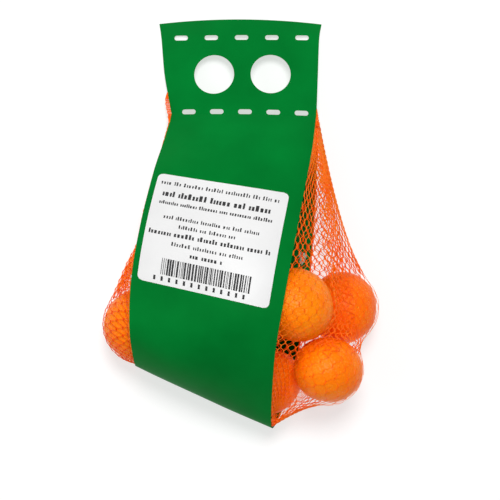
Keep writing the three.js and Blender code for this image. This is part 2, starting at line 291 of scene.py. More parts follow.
def ramp_node(nodes, links, source, stops):
    ramp = nodes.new("ShaderNodeValToRGB")
    elements = ramp.color_ramp.elements
    while len(elements) < len(stops):
        elements.new(0.5)
    for element, (position, colour) in zip(elements, stops):
        element.position = position
        element.color = colour
    links.new(source, ramp.inputs["Fac"])
    return ramp.outputs["Color"]


def bump_node(nodes, links, height, strength, distance, before=None):
    bump = nodes.new("ShaderNodeBump")
    bump.inputs["Strength"].default_value = strength
    bump.inputs["Distance"].default_value = distance
    links.new(height, bump.inputs["Height"])
    if before is not None:
        links.new(before, bump.inputs["Normal"])
    return bump.outputs["Normal"]


def grey(level):
    return (level, level, level, 1)


def stored(nodes, name):
    """A value that a piece stores for each of its points."""
    attribute = nodes.new("ShaderNodeAttribute")
    attribute.attribute_name = name
    return attribute.outputs["Fac"]


def mixed(nodes, links, factor, first, second):
    """A colour mixed from two, each a socket or a colour."""
    mix = nodes.new("ShaderNodeMix")
    mix.data_type = "RGBA"
    links.new(factor, mix.inputs["Factor"])
    for name, colour in (("A", first), ("B", second)):
        if isinstance(colour, tuple):
            mix.inputs[name].default_value = colour
        else:
            links.new(colour, mix.inputs[name])
    return mix.outputs["Result"]


def film_material():
    material, nodes, links, shader, place = patterned_material("green_film")
    stops = [(0.3, linear(1, 109, 39)), (0.7, linear(2, 123, 46))]
    links.new(toned(nodes, links, place, 22, 4, stops), shader.inputs["Base Color"])
    ripple = noise_node(nodes, links, place, 60, 2)
    grain = noise_node(nodes, links, place, 900, 2)
    soft = bump_node(nodes, links, ripple, 0.25, 0.0006)
    links.new(bump_node(nodes, links, grain, 0.12, 0.0001, soft), shader.inputs["Normal"])
    set_shader(shader, Roughness=0.45, IOR=1.15, Specular_IOR_Level=0.12)
    return material


def label_material():
    material, nodes, links, shader, place = patterned_material("label_white")
    stops = [(0.3, linear(227, 227, 227)), (0.7, linear(234, 234, 234))]
    links.new(toned(nodes, links, place, 30, 4, stops), shader.inputs["Base Color"])
    grain = noise_node(nodes, links, place, 1500, 3)
    links.new(bump_node(nodes, links, grain, 0.15, 0.0001), shader.inputs["Normal"])
    set_shader(shader, Roughness=0.5)
    return material


def glare_spot_material():
    # Painted highlight: a pale mottled green that stands for a glare on the back film
    material, nodes, links, shader, place = patterned_material("film_glare_spot")
    stops = [(0.35, linear(150, 205, 175)), (0.65, linear(205, 235, 220))]
    links.new(toned(nodes, links, place, 500, 3, stops), shader.inputs["Base Color"])
    set_shader(shader, Roughness=0.5)
    return material


def ink_material():
    material, nodes, links, shader, place = patterned_material("label_ink")
    stops = [(0.35, linear(22, 22, 24)), (0.75, linear(48, 48, 50))]
    links.new(toned(nodes, links, place, 1200, 2, stops), shader.inputs["Base Color"])
    set_shader(shader, Roughness=0.6)
    return material


def net_material():
    """Bright plastic yarn, with painted shade that darkens it where it lies close over a fruit, and a
    faint painted glow for the light that passes through it.
    """
    material, nodes, links, shader, place = patterned_material("net_yarn")
    stops = [(0.3, linear(254, 92, 6)), (0.7, linear(255, 120, 18))]
    bright = toned(nodes, links, place, 55, 3, stops)
    # Painted shade: the yarn goes towards a deeper red-orange where it lies close over a fruit
    painted_shade = stored(nodes, "painted_shade")
    links.new(mixed(nodes, links, painted_shade, bright, linear(214, 66, 4)), shader.inputs["Base Color"])
    twist = noise_node(nodes, links, place, 2500, 2)
    links.new(bump_node(nodes, links, twist, 0.3, 0.0001), shader.inputs["Normal"])
    set_shader(shader, Roughness=0.35, Specular_IOR_Level=0.22)
    set_shader(shader, Subsurface_Weight=0.7, Subsurface_Scale=0.0012)
    set_shader(shader, Subsurface_Radius=(1.0, 0.6, 0.35))
    # Painted light: a faint orange glow, though the yarn is no lamp, stands in for light that passes
    # through the thin plastic
    set_shader(shader, Emission_Color=linear(255, 88, 4), Emission_Strength=0.15)
    return material


def peel_material():
    """Orange peel: broad tones, a tint that each fruit has, painted glints on its pores, a few dark
    specks and a faint painted glow.
    """
    material, nodes, links, shader, place = patterned_material("mandarin_peel")
    stops = [(0.25, linear(252, 116, 2)), (0.5, linear(255, 136, 4)), (0.8, linear(255, 154, 8))]
    base = toned(nodes, links, place, 38, 4, stops)
    base = mixed(nodes, links, stored(nodes, "tint"), base, linear(252, 100, 2))

    pores = nodes.new("ShaderNodeTexVoronoi")
    pores.inputs["Scale"].default_value = 620
    pores.feature = "SMOOTH_F1"
    links.new(place, pores.inputs["Vector"])
    pore = pores.outputs["Distance"]
    # Painted glints: pale yellow-orange specks on the pores, in broad patches of noise, stand in for
    # light catching the glossy peel
    glint_share = ramp_node(nodes, links, pore, [(0.06, grey(0.75)), (0.34, grey(0))])
    glinted = mixed(nodes, links, glint_share, base, linear(255, 184, 58))
    where = toned(nodes, links, place, 70, 3, [(0.4, grey(0.25)), (0.65, grey(1))])
    base = mixed(nodes, links, where, base, glinted)
    speck = toned(nodes, links, place, 420, 2, [(0.66, grey(0)), (0.74, grey(0.6))])
    base = mixed(nodes, links, speck, base, linear(188, 84, 6))
    links.new(base, shader.inputs["Base Color"])

    swell = noise_node(nodes, links, place, 160, 3)
    coarse = bump_node(nodes, links, swell, 0.6, 0.0009)
    links.new(bump_node(nodes, links, pore, 1.0, 0.0006, coarse), shader.inputs["Normal"])
    set_shader(shader, Roughness=0.34, Specular_IOR_Level=0.11)
    # Painted light: a faint orange glow, though the peel is no lamp, brightens the fruit as light
    # passing into it would
    set_shader(shader, Emission_Color=linear(255, 92, 0), Emission_Strength=0.06)
    set_shader(shader, Subsurface_Weight=0.12, Subsurface_Scale=0.002)
    set_shader(shader, Subsurface_Radius=(1.0, 0.35, 0.1))
    return material


def stem_material():
    material, nodes, links, shader, place = patterned_material("stem_button")
    stops = [(0.3, linear(92, 104, 30)), (0.7, linear(150, 142, 62))]
    links.new(toned(nodes, links, place, 700, 3, stops), shader.inputs["Base Color"])
    set_shader(shader, Roughness=0.75)
    return material


def floor_material():
    """A pale floor that glows a little, so that shadows on it stay light."""
    material, _, _, shader = new_material("studio_floor")
    set_shader(shader, Base_Color=grey(0.42), Roughness=0.9)
    set_shader(shader, Emission_Color=grey(1), Emission_Strength=0.62)
    return material


# The film

FILM_ACROSS, HEADER_ROWS, RUN_ROWS = 67, 49, 281  # points of its skin, with both ends of its runs
THINNEST = 0.05  # the inner skin's least distance from the middle surface
CUT_DEPTH = 60.0
SHARP_DEGREES = 35


def film_relief(station, across):
    """Shallow waves that the film has besides its large shape, in millimetres."""
    neck = np.exp(-((station - WELD - 0.5) / 0.8) ** 2)
    pleats = 0.15 * neck * np.sin(9 * across + 1.5 * station) * (1 - across**2)
    waves = 0.2 * np.sin(2.3 * station + 2.1 * across) * np.sin(3.1 * across + 0.7)
    return (pleats + waves) * smooth_step(0.2, 1.2, station) * smooth_step(TURN + 1, TURN, station)


def front_offset(station):
    """From the middle surface to the outside of the film: the header is thin, both runs aren't."""
    opened = smooth_step(WELD - 0.3, WELD + 0.4, station)
    returned = smooth_step(LAST, LAST - 0.4, station)
    return HEADER_HALF + (FILM - HEADER_HALF) * opened * returned


def film_skin():
    """The film as one closed skin, with a fork where the header splits in two runs."""
    across = np.linspace(-1, 1, FILM_ACROSS)
    header = np.linspace(0, WELD, HEADER_ROWS)
    runs = np.linspace(WELD, LAST, RUN_ROWS)[1:-1]
    columns = len(across)

    def rows(stations, offset):
        s, a = np.meshgrid(stations, across, indexing="ij")
        return band_offset(s, a, offset(s) + film_relief(s, a))

    outside = np.concatenate([
        rows(header, front_offset),
        rows(runs, front_offset),
        rows(header[::-1], lambda s: -np.full_like(s, HEADER_HALF)),
    ])
    inside = np.concatenate([
        rows(np.array([WELD]), lambda s: 0 * s),
        rows(runs, lambda s: np.maximum(front_offset(s) - FILM_SHEET, THINNEST)),
    ])
    points = np.concatenate([outside.reshape(-1, 3), inside.reshape(-1, 3)])
    faces = film_faces(len(header), len(runs), columns)
    return points, faces


def film_faces(header, runs, columns):
    """The faces of the outer and the inner skin, and of the edges that close both sides."""
    outer_rows = 2 * header + runs
    inner_rows = runs + 1
    inner_start = outer_rows * columns
    ring = np.arange(outer_rows + 1) % outer_rows
    c = np.arange(columns - 1)
    faces = []
    for upper, lower in zip(ring[:-1], ring[1:]):
        a, b = upper * columns + c, lower * columns + c
        faces.append(np.stack([a, b, b + 1, a + 1], axis=-1))
    ring = np.arange(inner_rows + 1) % inner_rows
    for upper, lower in zip(ring[:-1], ring[1:]):
        a, b = inner_start + upper * columns + c, inner_start + lower * columns + c
        faces.append(np.stack([b, a, a + 1, b + 1], axis=-1))
    faces = np.concatenate(faces).tolist()
    for edge in (0, columns - 1):
        turned = edge != 0

        def outer(row):
            return int(row * columns + edge)

        def inner(row):
            return int(inner_start + (row % inner_rows) * columns + edge)

        last = outer_rows - 1
        for i in range(header - 1):
            quad = [outer(i), outer(last - i), outer(last - i - 1), outer(i + 1)]
            faces.append(quad[::-1] if turned else quad)
        for i in range(runs + 1):
            top = header - 1 + i
            quad = [outer(top), inner(i), inner(i + 1), outer(top + 1)]
            faces.append(quad[::-1] if turned else quad)
        fork = [outer(header - 1), outer(header + runs), inner(0)]
        faces.append(fork[::-1] if turned else fork)
    return faces


def prism(outline):
    """A closed prism on a flat outline, along Z."""
    count = len(outline)
    points = [(x, y, z) for z in (-CUT_DEPTH, CUT_DEPTH) for x, y in outline]
    sides = [[i, (i + 1) % count, count + (i + 1) % count, count + i] for i in range(count)]
    caps = [list(range(count))[::-1], list(range(count, 2 * count))]
    return points, sides + caps


def header_cutters():
    """Prisms for the finger holes and the weld slots, as one mesh."""
    turns = np.linspace(0, 2 * math.pi, 96, endpoint=False)
    outlines = [
        [(x + FINGER_HOLE_RADIUS * math.cos(t), y + FINGER_HOLE_RADIUS * math.sin(t)) for t in turns]
        for x, y in FINGER_HOLES
    ]
    half, radius = (SLOT_LENGTH - SLOT_WIDTH) / 2, SLOT_WIDTH / 2
    ends = [(half, t) for t in np.linspace(-math.pi / 2, math.pi / 2, 12)]
    ends += [(-half, t) for t in np.linspace(math.pi / 2, 3 * math.pi / 2, 12)]
    capsule = [(shift + radius * math.cos(t), radius * math.sin(t)) for shift, t in ends]
    for (x, y), pitch, tilt in SLOT_ROWS:
        for i in range(SLOT_COUNT):
            along = (i - (SLOT_COUNT - 1) / 2) * pitch
            cos, sin = math.cos(tilt), math.sin(tilt)
            outlines.append([
                (x + along * cos + px * cos - py * sin, y + along * sin + px * sin + py * cos)
                for px, py in capsule
            ])
    return joined(prism(outline) for outline in outlines)


def cut(piece, cutter):
    """Cuts one mesh out of another and takes the cutter away."""
    modifier = piece.modifiers.new("cut", "BOOLEAN")
    modifier.operation = "DIFFERENCE"
    modifier.solver = "EXACT"
    modifier.object = cutter
    bpy.context.view_layer.objects.active = piece
    bpy.ops.object.modifier_apply(modifier=modifier.name)
    bpy.data.objects.remove(cutter)


def sharpen(piece):
    """Marks the edges that turn by more than SHARP_DEGREES as sharp."""
    work = bmesh.new()
    work.from_mesh(piece.data)
    for edge in work.edges:
        if len(edge.link_faces) == 2 and edge.calc_face_angle(0) > math.radians(SHARP_DEGREES):
            edge.smooth = False
    work.to_mesh(piece.data)
    work.free()


def make_film(material):
    film = make_object("film", *film_skin(), material)
    cutter = make_object("cutter", *header_cutters(), material)
    cut(film, cutter)
    sharpen(film)
    return film


# The fruit

def settled_fruit():
    """The mandarins' centres after they settle in the bag, as in the part's source."""
    at = np.array([place for place, _, _ in FRUIT], float)
    radius = np.array([size for _, size, _ in FRUIT])
    give = np.array([FIRM_SHARE if firm else 1.0 for _, _, firm in FRUIT])
    clearance = NET_GAP + NET_SKIN
    stations = np.arange(WELD, LAST + 0.01, 0.25)[:, None]
    across = np.linspace(-1, 1, 9)[None, :]
    wall = band_point(stations, across).reshape(-1, 3)
    inward = -band_normal(stations, across).reshape(-1, 3)
    for _ in range(SETTLE_ROUNDS):
        for i in range(len(at)):
            for j in range(i + 1, len(at)):
                apart = at[j] - at[i]
                distance = np.linalg.norm(apart)
                overlap = radius[i] + radius[j] - distance
                if overlap > 0:
                    push = apart / distance * overlap / (give[i] + give[j])
                    at[i] -= push * give[i]
                    at[j] += push * give[j]
        for i, centre in enumerate(at):
            distances = np.linalg.norm(wall - centre, axis=1)
            nearest = distances.argmin()
            short = radius[i] + clearance - distances[nearest]
            if short > 0:
                at[i] += inward[nearest] * short
        at[:, 2] = np.maximum(at[:, 2], radius + clearance + FILM)
    return at, radius


# Which way each stem points, so that the pieces in view show what the photo shows
STEM_WAYS = [
    (-0.55, -0.5, -0.6), (0.7, -0.2, -0.5), (-0.2, -0.9, -0.1), (0.3, -0.8, -0.5),
    (0.2, 0.3, -0.9), (-0.6, 0.5, 0.2), (0.1, 0.4, 0.9), (-0.8, 0.1, 0.3),
    (0.5, 0.7, 0.2), (0.2, -0.3, 0.9), (-0.5, 0.5, 0.7), (0.3, 0.6, 0.7),
]
TINTS = [0.1, 0.7, 0.3, 0.15, 0.2, 0.6, 0.4, 0.2, 0.6, 0.3, 0.5, 0.2]  # towards red
FRUIT_RINGS, FRUIT_SPOKES, STEM_SPOKES = 72, 108, 20
POLE_SHARE = 0.93  # a mandarin's height over its width
# As shares of a mandarin's radius: how far its skin lies in, and how deep its two dimples are
SKIN_INSET, STEM_DIMPLE, NAVEL_DIMPLE = 0.012, 0.09, 0.05


def mandarin(radius, rng):
    """One mandarin about its stem axis: points and faces."""
    polar = np.linspace(0, math.pi, FRUIT_RINGS + 1)[1:-1, None]
    spoke = np.linspace(0, 2 * math.pi, FRUIT_SPOKES, endpoint=False)[None, :]
    phases = rng.uniform(0, 2 * math.pi, 6)
    lumps = (
        0.012 * np.sin(2 * spoke + phases[0]) * np.sin(polar)
        + 0.008 * np.sin(3 * spoke + phases[1]) * np.sin(polar)
        + 0.006 * np.sin(5 * spoke + phases[2]) * np.sin(2 * polar) ** 2
    )
    from_stem = polar / math.pi
    ribs = 0.012 * np.exp(-((from_stem - 0.12) / 0.08) ** 2) * np.sin(10 * spoke + phases[3])
    dimple = -STEM_DIMPLE * np.exp(-((from_stem / 0.07) ** 2))
    navel = -NAVEL_DIMPLE * np.exp(-(((1 - from_stem) / 0.06) ** 2))
    reach = 1 - SKIN_INSET + lumps + ribs + dimple + navel
    x = radius * reach * np.sin(polar) * np.cos(spoke)
    y = radius * reach * np.sin(polar) * np.sin(spoke)
    z = radius * POLE_SHARE * reach * np.cos(polar) + 0 * spoke
    rows = np.stack([x, y, z], axis=-1)
    top = [[0, 0, radius * POLE_SHARE * (1 - SKIN_INSET - STEM_DIMPLE)]]
    bottom = [[0, 0, -radius * POLE_SHARE * (1 - SKIN_INSET - NAVEL_DIMPLE)]]
    points = np.concatenate([rows.reshape(-1, 3), top, bottom])
    faces = strip_faces(len(polar), FRUIT_SPOKES, wrap_columns=True).tolist()
    crown, base = len(points) - 2, len(points) - 1
    last = (len(polar) - 1) * FRUIT_SPOKES
    for i in range(FRUIT_SPOKES):
        j = (i + 1) % FRUIT_SPOKES
        faces.append([crown, i, j])
        faces.append([base, last + j, last + i])
    return points, faces


def stem_button(radius):
    """A small ragged disc in the stem dimple."""
    level = radius * POLE_SHARE * (1 - SKIN_INSET - STEM_DIMPLE)
    turns = np.linspace(0, 2 * math.pi, STEM_SPOKES, endpoint=False)
    ragged = 1 + 0.25 * np.cos(5 * turns)
    rings = [(0.55, 0.35), (0.9, 0.8), (1.7, 0.75), (2.3, 0.1)]  # radius and height
    points = [
        (size * wave * math.cos(t), size * wave * math.sin(t), level + lift)
        for size, lift in rings
        for t, wave in zip(turns, ragged)
    ]
    faces = strip_faces(len(rings), STEM_SPOKES, wrap_columns=True).tolist()
    points.append((0, 0, level + 0.3))
    points.append((0, 0, level - 1.0))
    top, bottom = len(points) - 2, len(points) - 1
    last = (len(rings) - 1) * STEM_SPOKES
    for i in range(STEM_SPOKES):
        j = (i + 1) % STEM_SPOKES
        faces.append([i, j, top])
        faces.append([last + j, last + i, bottom])
    return np.array(points), faces


def turned(points, way, spin):
    """Points whose +Z is turned to a direction."""
    tilt = Vector(way).normalized().to_track_quat("Z", "Y").to_matrix()
    turn = Euler((0, 0, spin)).to_matrix()
    return points @ np.array(tilt @ turn).T


def make_fruit(at, radius, peel, stem):
    rng = np.random.default_rng(SEED)
    skins, buttons, tints = [], [], []
    for place, size, way, tint in zip(at, radius, STEM_WAYS, TINTS):
        spin = rng.uniform(0, 2 * math.pi)
        points, faces = mandarin(size, rng)
        skins.append((turned(points, way, spin) + place, faces))
        tints += [tint] * len(points)
        points, faces = stem_button(size)
        buttons.append((turned(points, way, spin) + place, faces))
    fruit = make_object("mandarins", *joined(skins), peel)
    store(fruit, "tint", tints)
    return fruit, make_object("stem_buttons", *joined(buttons), stem)


# The net

def net_rings():
    """The net's rings before they draw tight, neck first."""
    shares = np.linspace(0, 1, NET_ROWS + 1)
    across = np.linspace(-1, 1, NET_ACROSS + 1)
    s = np.linspace(0, 1, POUCH_POINTS + 2)[1:-1]
    rings = []
    for share in shares:
        upper = band_offset(WELD + (TURN - WELD) * share, across, -NET_GAP)
        lower = band_offset(LAST - (LAST - TURN) * share, across, -NET_GAP)
        spread = POUCH_SPREAD * math.sin(math.pi * share) ** 0.8
        right = upper[-1] + (lower[-1] - upper[-1]) * s[:, None]
        left = lower[0] + (upper[0] - lower[0]) * s[:, None]
        right[:, 0] += spread * np.sin(math.pi * s)
        left[:, 0] -= spread * np.sin(math.pi * s)
        rings.append(np.concatenate([upper, right, lower[::-1], left]))
    return pinched(np.array(rings), s)


def pinched(rings, s):
    """The neck ring drawn flat between both films."""
    n = NET_ACROSS + 1
    upper, lower = rings[0, :n], rings[0, n + POUCH_POINTS:2 * n + POUCH_POINTS][::-1]
    seam = (upper + lower) / 2
    rings[0, :n] = seam
    rings[0, n + POUCH_POINTS:2 * n + POUCH_POINTS] = seam[::-1]
    bulge = np.sin(math.pi * s)[:, None] * np.array([1.0, 0, 0])
    rings[0, n:n + POUCH_POINTS] = seam[-1] + NECK_BULGE["right"] * bulge
    rings[0, 2 * n + POUCH_POINTS:] = seam[0] - NECK_BULGE["left"] * bulge
    return rings


def draw_tight(rings, free, pull, at, radius, rounds):
    """Each free point goes to the middle of its neighbours, out of the fruit and off the floor."""
    mask = free[None, :, None] * np.ones_like(rings)
    mask[0] = mask[-1] = 0
    pull = pull[None, :, None]
    for _ in range(rounds):
        along = (np.roll(rings, 1, axis=0) + np.roll(rings, -1, axis=0)) / 2
        around = (np.roll(rings, 1, axis=1) + np.roll(rings, -1, axis=1)) / 2
        target = pull * along + (1 - pull) * around
        for centre, size in zip(at, radius):
            away = target - centre
            distance = np.linalg.norm(away, axis=-1, keepdims=True)
            reach = size + NET_SKIN
            target = np.where(distance < reach, centre + away / distance * reach, target)
        target[..., 2] = np.maximum(target[..., 2] - SAG, FLOOR_GAP)
        rings = rings + (target - rings) * mask
    return rings


def finer(rings, free):
    """The grid with FINER steps in place of each one, and which of its columns are free."""
    rows, columns, _ = rings.shape
    r = np.linspace(0, rows - 1, (rows - 1) * FINER + 1)
    low = np.minimum(r.astype(int), rows - 2)
    w = (r - low)[:, None, None]
    rings = rings[low] * (1 - w) + rings[low + 1] * w
    c = np.arange(columns * FINER) / FINER
    low = c.astype(int)
    w = (c - low)[None, :, None]
    rings = rings[:, low] * (1 - w) + rings[:, (low + 1) % columns] * w
    is_free = free[low] | (free[(low + 1) % columns] & ((c - low) > 0))
    return rings, is_free


def net_membrane(at, radius):
    """The net as a smooth sheet: rows of points from neck to bottom, closed around the bag."""
    rings = net_rings()
    columns = rings.shape[1]
    c = np.arange(columns)
    n = NET_ACROSS + 1
    free = ((c >= n) & (c < n + POUCH_POINTS)) | (c >= 2 * n + POUCH_POINTS)
    pull = np.where(c < columns / 2, LENGTHWISE["right"], LENGTHWISE["left"])
    rings = draw_tight(rings, free, pull, at, radius, DRAW_ROUNDS)
    rings, free = finer(rings, free)
    pull = np.repeat(pull, FINER)
    rings = draw_tight(rings, free, pull, at, radius, FINE_ROUNDS)
    left = rings[:, (2 * n + POUCH_POINTS) * FINER:]
    left[..., 0] += TUCK * np.exp(-((left[..., 1] - TUCK_AT) / TUCK_SPAN) ** 2)
    return rings


def wale_places(rings):
    """For each row, the share of wales passed at each column, closed at 1."""
    steps = np.linalg.norm(np.roll(rings, -1, axis=1) - rings, axis=-1)
    steps[:, (2 * NET_ACROSS + 2 + POUCH_POINTS) * FINER:] *= LEFT_DENSITY
    passed = np.concatenate([np.zeros((len(rings), 1)), np.cumsum(steps, axis=1)], axis=1)
    passed /= passed[:, -1:]
    belly = passed[int(BELLY_SHARE * len(rings))]
    return WALE_HOLD * belly + (1 - WALE_HOLD) * passed


def sample_net(rings, places, row, share):
    """Points of the net at rows and at shares of the way round, by linear interpolation."""
    rows, columns, _ = rings.shape
    low = np.clip(row.astype(int), 0, rows - 2)
    w = (row - low)[..., None]
    share = share % 1.0

    def on_row(index):
        out = np.empty(share.shape + (3,))
        for r in np.unique(index):
            here = index == r
            column = np.interp(share[here], places[r], np.arange(columns + 1))
            c = np.minimum(column.astype(int), columns - 1)
            part = (column - c)[:, None]
            out[here] = rings[r, c] * (1 - part) + rings[r, (c + 1) % columns] * part
        return out

    return on_row(low) * (1 - w) + on_row(low + 1) * w


def off_fruit(points, at, radius):
    """How far points are from the nearest fruit's peel."""
    distance = np.full(points.shape[:-1], np.inf)
    for place, size in zip(at, radius):
        distance = np.minimum(distance, np.linalg.norm(points - place, axis=-1) - size)
    return distance


def by_side(centre, left, right):
    """A value for each point, which goes from the left pouch's to the right pouch's."""
    return left + (right - left) * smooth_step(-SIDE_BLEND, SIDE_BLEND, centre[..., 0])


def thread_paths(rings, at, radius):
    """Every wale's zigzag: rows of points, outward normal, radius and how much painted shade at each."""
    places = wale_places(rings)
    rows = len(rings)
    half = KNOT_SHARE / 2
    within = np.array([0.5 - half - THIN_FROM, 0.5 - half, 0.5 + half, 0.5 + half + THIN_FROM])
    thin = np.array([True, False, False, True])
    reach = np.where(thin, KNOT_REACH * (1 - 2 * THIN_FROM / (1 - KNOT_SHARE)), KNOT_REACH)
    course = np.repeat(np.arange(COURSES), 4)
    row = (course + np.tile(within, COURSES)) / COURSES * (rows - 1)
    wale = np.arange(WALES)
    side = np.where((wale[:, None] + course[None, :]) % 2 == 0, 1, -1)
    share = (wale[:, None] + 0.5 + np.tile(reach, COURSES) * side) / WALES
    row = np.broadcast_to(row, share.shape)
    centre = sample_net(rings, places, row, share)
    east = sample_net(rings, places, row, share + NORMAL_EAST / WALES)
    south = sample_net(rings, places, np.minimum(row + NORMAL_SOUTH, rows - 1), share)
    normal = np.cross(south - centre, east - centre)
    length = np.linalg.norm(normal, axis=-1, keepdims=True)
    slack = smooth_step(*SLACK_FROM, off_fruit(centre, at, radius) - NET_SKIN)
    thin_knot, thick_knot = (by_side(centre, *pair) for pair in zip(*KNOT_RADII.values()))
    width = thin_knot + (thick_knot - thin_knot) * slack
    width = width * np.where(np.tile(thin, COURSES), THIN_SHARE, 1.0)
    # Painted shade, strongest on the left pouch's threads that lie close over a fruit
    painted_shade = (1 - slack) * by_side(centre, *PAINTED_SHADE_DEPTH.values())
    return centre, normal / np.maximum(length, 1e-9), width, painted_shade


def tubes(paths, normals, radius):
    """Thin tubes along rows of points, all rows at once, with a radius at each point."""
    tangent = np.gradient(paths, axis=1)
    tangent /= np.maximum(np.linalg.norm(tangent, axis=-1, keepdims=True), 1e-9)
    side = np.cross(tangent, normals)
    side /= np.maximum(np.linalg.norm(side, axis=-1, keepdims=True), 1e-9)
    up = np.cross(side, tangent)
    turns = [2 * math.pi * corner / TUBE_SIDES for corner in range(TUBE_SIDES)]
    corners = [(-math.sin(turn), math.cos(turn)) for turn in turns]
    radius = radius[..., None]
    ring = np.stack([paths + radius * (x * side + y * up) for x, y in corners], axis=2)
    threads, steps = paths.shape[:2]
    faces = np.concatenate([
        strip_faces(steps, TUBE_SIDES, wrap_columns=True, first=t * steps * TUBE_SIDES)
        for t in range(threads)
    ]).tolist()
    cap = np.arange(TUBE_SIDES)
    for first in range(0, threads * steps * TUBE_SIDES, steps * TUBE_SIDES):
        faces.append((first + cap).tolist())
        faces.append((first + (steps - 1) * TUBE_SIDES + cap[::-1]).tolist())
    return ring.reshape(-1, 3), faces


def make_net(rings, at, radius, material):
    paths, normals, radii, painted_shade = thread_paths(rings, at, radius)
    points, faces = tubes(paths, normals, radii)
    net = make_object("net", points, faces, material)
    store(net, "painted_shade", np.repeat(painted_shade.ravel(), TUBE_SIDES))
    return net


# Where the net is gathered, more layers of it lie along the outer one: the columns of the net's
# grid between which they lie, how many threads, between which Y the threads end, how deep they
# lie inside the outer layer (outside it where negative), and how far off a fruit they end
GATHERS = {
    "net_gather_right": (NET_ACROSS, NET_ACROSS + 0.6 * POUCH_POINTS, 15, (88, 62), 1.2, 1.6),
    "net_gather_left": (2 * NET_ACROSS + 1.4 * POUCH_POINTS, 2 * (NET_ACROSS + POUCH_POINTS), 26,
                        (-26, -40), 1.2, 1.6),
    "net_gather_valley": (NET_ACROSS + 2.7, NET_ACROSS + 5.6, 8, (-68, -80), -0.4, 0.0),
}
GATHER_STEP = 1.6  # from one bend of a thread to the next
GATHER_SWING = 0.42  # how far a thread bends aside, as a share of the threads' spacing
GATHER_RADIUS = 0.42


def on_grid(grid, row, column):
    """Points of a grid at fractions of rows and columns, by linear interpolation."""
    r = np.clip(row.astype(int), 0, grid.shape[0] - 2)
    c = np.clip(column.astype(int), 0, grid.shape[1] - 2)
    v, w = (row - r)[:, None], (column - c)[:, None]
    upper = grid[r, c] * (1 - w) + grid[r, c + 1] * w
    lower = grid[r + 1, c] * (1 - w) + grid[r + 1, c + 1] * w
    return upper * (1 - v) + lower * v


def gather_paths(grid, first, last, threads, ends, clear, at, radius):
    """Zigzag threads that run down the net from its neck, each to its own end."""
    rng = np.random.default_rng(SEED)
    steps = int((grid[0, 0, 1] - min(ends)) / GATHER_STEP)
    paths = []
    for thread in range(threads):
        middle = first + (last - first) * (thread + 0.5) / threads
        line = grid[:, int(middle * FINER)]
        past = line[:, 1] < rng.uniform(min(ends), max(ends))
        end = int(np.argmax(past | (off_fruit(line, at, radius) < clear)))
        zigzag = np.where((np.arange(steps) // 2 + thread) % 2 == 0, 1, -1)
        column = (middle + GATHER_SWING * zigzag * (last - first) / threads) * FINER
        paths.append(on_grid(grid, np.linspace(0, end, steps), column))
    return np.array(paths)


def make_gather(name, gather, rings, at, radius, material):
    first, last, threads, ends, depth, clear = gather
    grid = np.concatenate([rings, rings[:, :1]], axis=1)
    paths = gather_paths(grid, first, last, threads, ends, clear, at, radius)
    core = rings.mean(axis=1)
    middle = np.stack([np.interp(-paths[..., 1], -core[:, 1], core[:, i]) for i in range(3)], axis=-1)
    out = (paths - middle) * np.array([1.0, 0, 1.0])
    out /= np.maximum(np.linalg.norm(out, axis=-1, keepdims=True), 1e-6)
    paths -= depth * out
    paths[..., 2] = np.maximum(paths[..., 2], FLOOR_GAP + GATHER_RADIUS)
    points, faces = tubes(paths, out, np.full(paths.shape[:2], GATHER_RADIUS))
    return make_object(name, points, faces, material)


# The gathered net stands out of both edges of the header as a fold: the side of the header, and
# how far the fold reaches out at places along the edge (in Y)
FOLDS = {
    "net_fold_left": (
        -1, [(127, 0.3), (122.3, 2.9), (116.6, 3.7), (111, 3.5), (106, 2.4), (101.5, 0.6)]
    ),
    "net_fold_right": (1, [(112, 0.2), (109, 0.8), (105.5, 1.8), (102, 2.8), (98, 4.0)]),
}
FOLD_THREADS = 8
FOLD_STEPS = 29  # points along a thread
FOLD_SWING = 0.45  # how far a thread bends aside, as a share of the threads' spacing
FOLD_THICK = 1.3
FOLD_RADIUS = 0.34


def make_fold(name, side, reaches, material):
    places, reach = np.array(reaches)[::-1].T
    y = np.linspace(places[-1], places[0], FOLD_STEPS)
    stations = np.linspace(1, WELD + 0.8, 200)
    edge = band_point(stations, side)
    edge = np.stack([np.interp(y, edge[::-1, 1], edge[::-1, i]) for i in range(3)], axis=-1)
    reach = np.interp(y, places, reach)
    paths = []
    for thread in range(FOLD_THREADS):
        zigzag = np.where((np.arange(FOLD_STEPS) // 2 + thread) % 2 == 0, 1, -1)
        out = (thread + 0.5 + FOLD_SWING * zigzag) / FOLD_THREADS
        lift = FOLD_THICK * np.sin(math.pi * out) * (1 if thread % 2 else -1)
        paths.append(edge + np.stack([side * reach * out, 0 * y, lift], axis=-1))
    paths = np.array(paths)
    normals = np.broadcast_to(np.array([0, 0, 1.0]), paths.shape)
    points, faces = tubes(paths, normals, np.full(paths.shape[:2], FOLD_RADIUS))
    return make_object(name, points, faces, material)


# The label and its print

LABEL_SHEET = 0.14  # how thick the label is shown
PRINT_SHEET = 0.04
CLEAR = 0.02  # what lies on a surface stays this far off it


def label_point(u, v, lift):
    """A point of the label: u from its left to its right, v from its top to its bottom."""
    station = LABEL_TOP + (LABEL_BOTTOM - LABEL_TOP) * v
    across = LABEL_LEFT + (LABEL_RIGHT - LABEL_LEFT) * u
    return band_offset(station, across, FILM + lift + film_relief(station, across))


